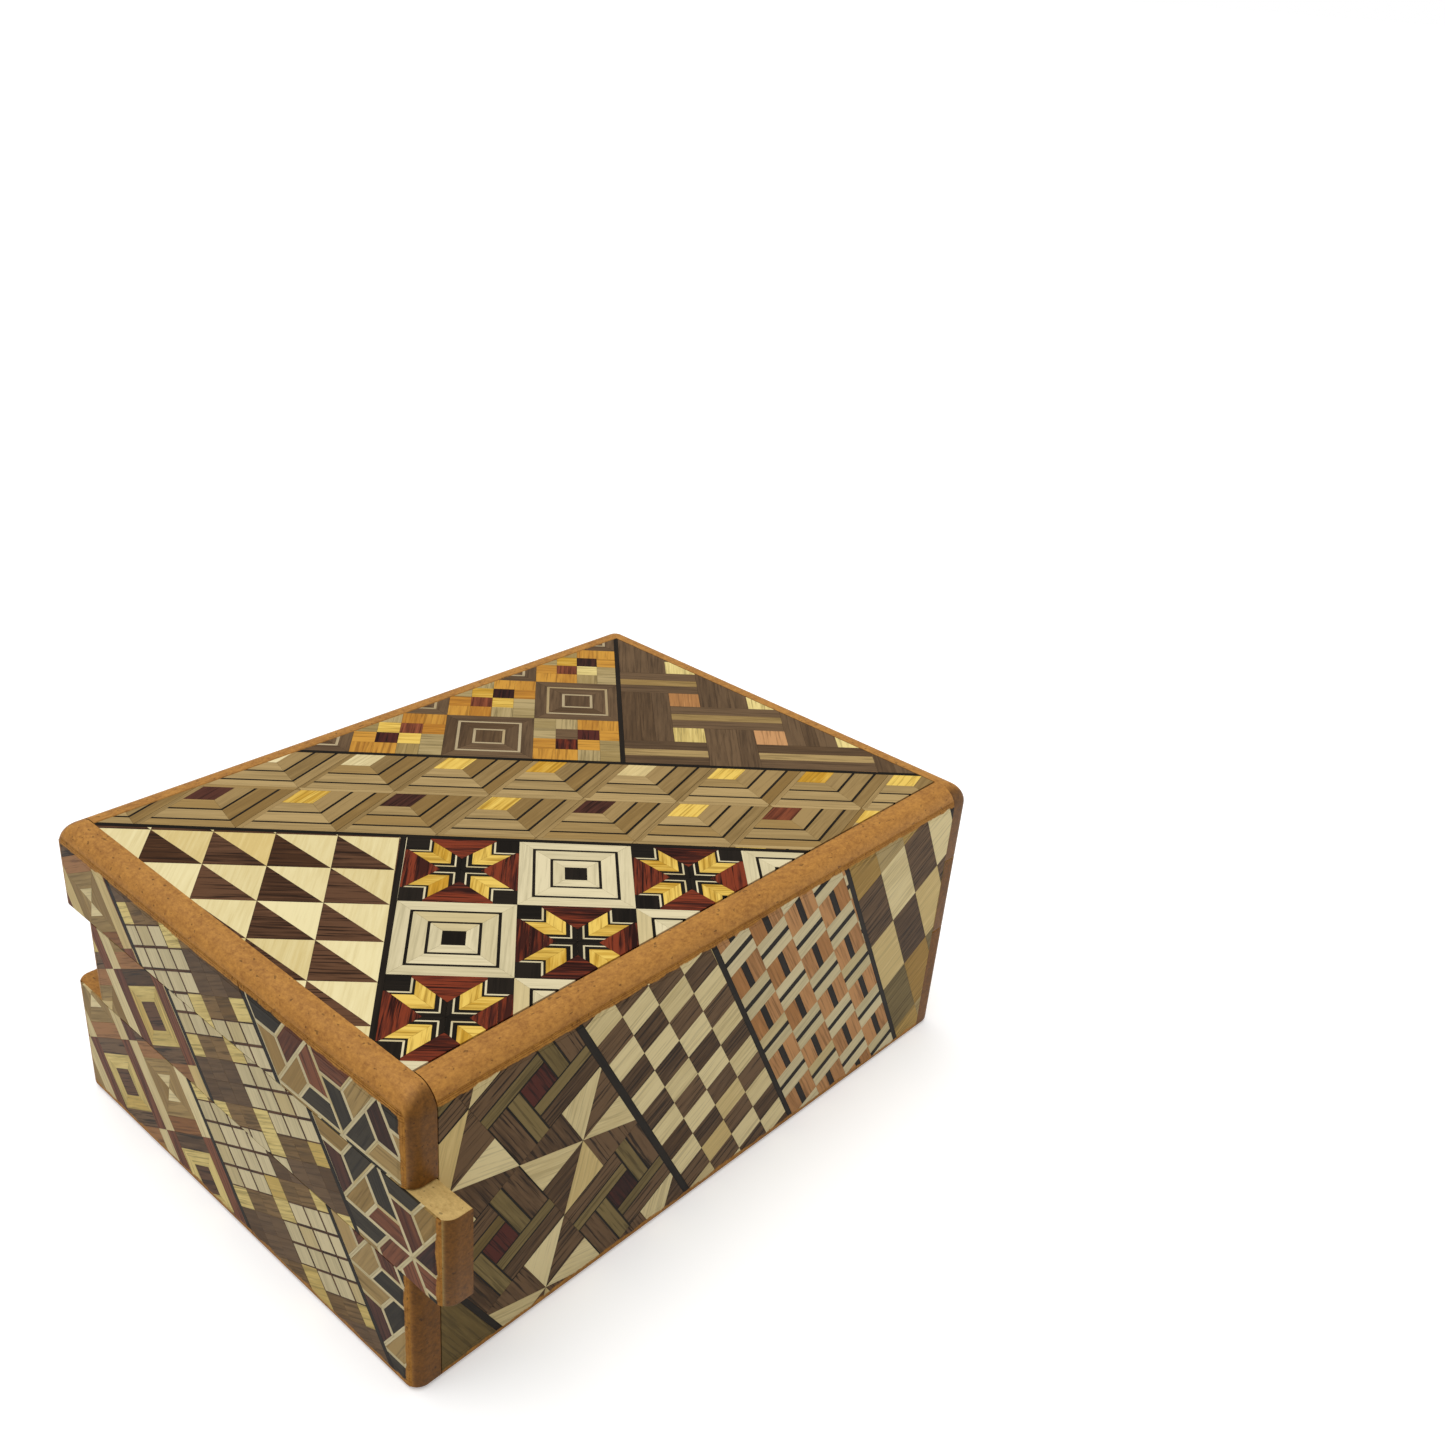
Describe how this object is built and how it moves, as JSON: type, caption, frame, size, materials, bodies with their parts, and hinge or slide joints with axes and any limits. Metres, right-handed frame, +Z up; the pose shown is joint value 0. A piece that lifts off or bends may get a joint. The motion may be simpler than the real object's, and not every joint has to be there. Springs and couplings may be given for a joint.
{
  "type": "wooden puzzle box",
  "caption": "Rectangular wooden puzzle box in geometric parquetry; sliding end keys free a sliding lid and bottom, which close a small compartment.",
  "frame": {"origin": "middle of the underside, where the closed box rests on a table", "axes": "+X along the box towards its right end, +Y towards its back, +Z up"},
  "size_m": [0.12, 0.0929, 0.0503],
  "materials": {
    "edge_wood": "fine speckled light brown wood, sanded and lacquered",
    "front_marquetry": "gloss lacquered parquetry veneer",
    "back_marquetry": "gloss lacquered parquetry veneer",
    "end_marquetry": "gloss lacquered parquetry veneer",
    "lid_marquetry": "gloss lacquered parquetry veneer",
    "bottom_marquetry": "gloss lacquered parquetry veneer",
    "inner_wood": "plain planed wood",
    "peg_wood": "hard pale wood, unfinished"
  },
  "bodies": {
    "carcass": {"front_side_board": "edge_wood", "front_veneer": "front_marquetry", "back_side_board": "edge_wood", "back_veneer": "back_marquetry", "left_inner_end": "inner_wood", "right_inner_end": "inner_wood", "compartment_floor": "inner_wood", "right_upper_slat": "edge_wood", "right_upper_veneer": "end_marquetry", "right_lower_slat": "edge_wood", "right_lower_veneer": "end_marquetry", "bottom_stop_peg": "peg_wood"},
    "left_key": {"left_key_slat": "edge_wood", "left_key_veneer": "end_marquetry", "left_key_cleat": "peg_wood", "left_key_lugs": "peg_wood"},
    "right_key": {"right_key_slat": "edge_wood", "right_key_veneer": "end_marquetry", "right_key_cleat": "peg_wood"},
    "lid": {"lid_board": "edge_wood", "lid_veneer": "lid_marquetry", "left_upper_slat": "edge_wood", "left_upper_veneer": "end_marquetry"},
    "bottom": {"bottom_board": "edge_wood", "bottom_veneer": "bottom_marquetry", "left_lower_slat": "edge_wood", "left_lower_veneer": "end_marquetry"}
  },
  "joints": [
    {"name": "left_key_slide", "type": "slide", "parent": "carcass", "child": "left_key", "axis": [0, -1, 0], "range_m": [-0.0067, 0]},
    {"name": "right_key_slide", "type": "slide", "parent": "carcass", "child": "right_key", "axis": [0, 1, 0], "range_m": [0, 0.0067]},
    {"name": "lid_slide", "type": "slide", "parent": "carcass", "child": "lid", "axis": [-1, 0, 0], "range_m": [0, 0.107]},
    {"name": "bottom_slide", "type": "slide", "parent": "carcass", "child": "bottom", "axis": [-1, 0, 0], "range_m": [0, 0.008]}
  ]
}
